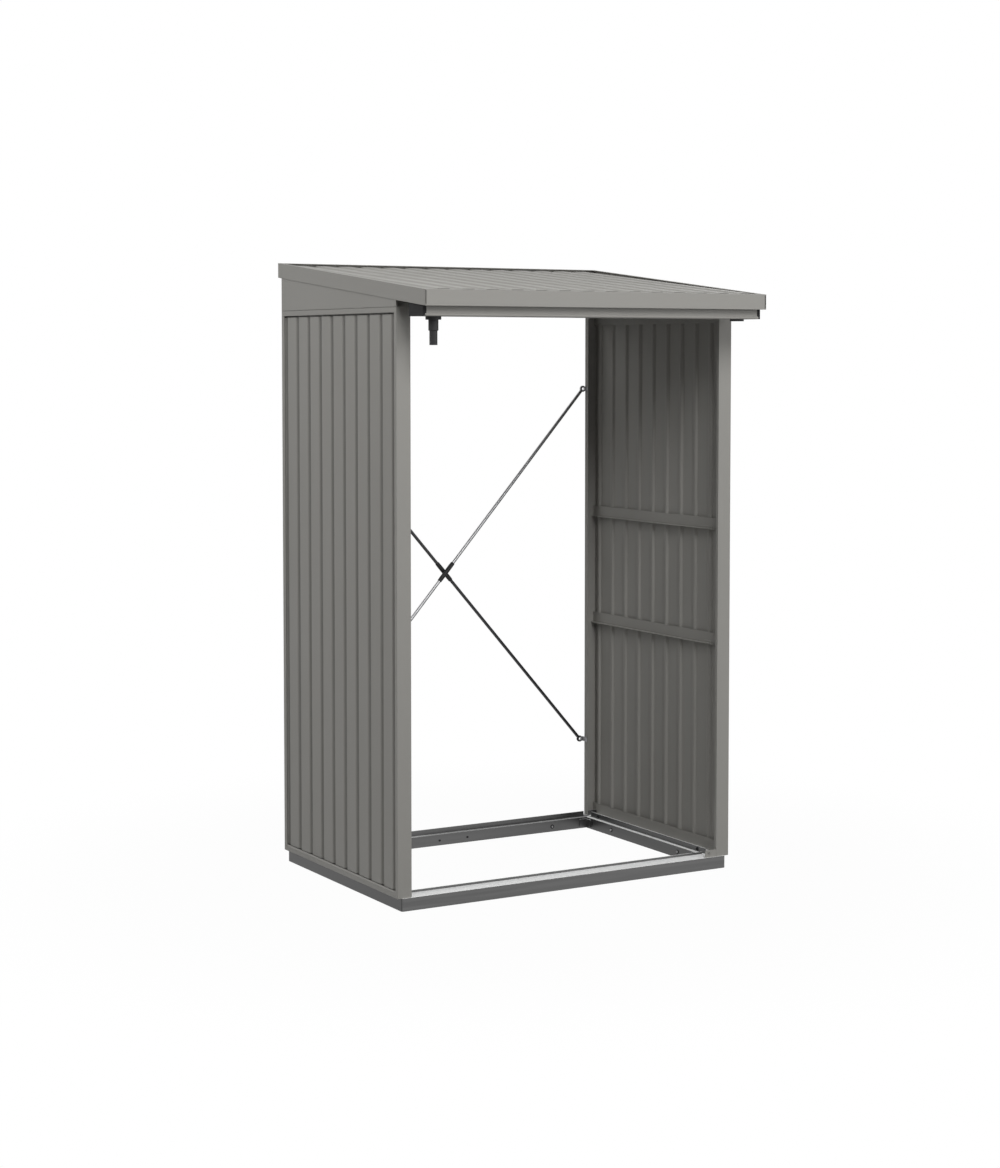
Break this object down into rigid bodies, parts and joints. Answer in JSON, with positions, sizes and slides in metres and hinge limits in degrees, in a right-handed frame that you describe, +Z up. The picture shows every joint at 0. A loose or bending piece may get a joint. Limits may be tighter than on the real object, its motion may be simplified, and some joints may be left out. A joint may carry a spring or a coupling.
{
  "type": "log store",
  "caption": "Open metal log store: ribbed side walls on a floor frame, single pitch roof with front gutter and spout, crossed tie rods at the back.",
  "frame": {"origin": "on the ground under the middle of the roof", "axes": "+X to the right as seen from the open front, +Y from the front to the back, +Z up"},
  "size_m": [1.234, 1.02, 1.99],
  "materials": {
    "wall_panels": "satin baked paint, warm mid grey, on ribbed sheet steel",
    "wall_frame": "satin baked paint, warm mid grey, on folded sheet steel",
    "roof_paint": "satin baked paint, warm mid grey, on folded sheet steel",
    "floor_frame": "plain mill finish extrusion",
    "gutter_fittings": "black moulded plastic",
    "brace_steel": "zinc plated steel",
    "brace_sleeves": "black coated steel"
  },
  "bodies": {
    "root": {"brace_falling_rod": "brace_steel", "brace_falling_sleeve": "brace_sleeves", "brace_lower_left_tab": "brace_steel", "brace_lower_right_tab": "brace_steel", "brace_rising_rod": "brace_steel", "brace_rising_sleeve": "brace_sleeves", "brace_upper_left_tab": "brace_steel", "brace_upper_right_tab": "brace_steel", "floor_front_beam": "floor_frame", "floor_front_left_corner": "floor_frame", "floor_front_right_corner": "floor_frame", "floor_left_beam": "floor_frame", "floor_rear_beam": "floor_frame", "floor_rear_left_corner": "floor_frame", "floor_rear_right_corner": "floor_frame", "floor_right_beam": "floor_frame", "front_header": "wall_frame", "gutter_left_cap": "gutter_fittings", "gutter_plug": "gutter_fittings", "gutter_right_cap": "gutter_fittings", "gutter_spout": "gutter_fittings", "gutter_trough": "roof_paint", "left_bottom_rail": "wall_frame", "left_front_post": "wall_frame", "left_gable_panel": "wall_panels", "left_lower_stiffener": "wall_frame", "left_rear_post": "wall_frame", "left_ribbed_panel": "wall_panels", "left_top_rail": "wall_frame", "left_upper_stiffener": "wall_frame", "rear_header": "wall_frame", "right_bottom_rail": "wall_frame", "right_front_post": "wall_frame", "right_gable_panel": "wall_panels", "right_lower_stiffener": "wall_frame", "right_rear_post": "wall_frame", "right_ribbed_panel": "wall_panels", "right_top_rail": "wall_frame", "right_upper_stiffener": "wall_frame", "roof_front_fascia": "roof_paint", "roof_left_trim": "roof_paint", "roof_rear_trim": "roof_paint", "roof_right_trim": "roof_paint", "roof_sheet": "roof_paint"}
  },
  "joints": []
}
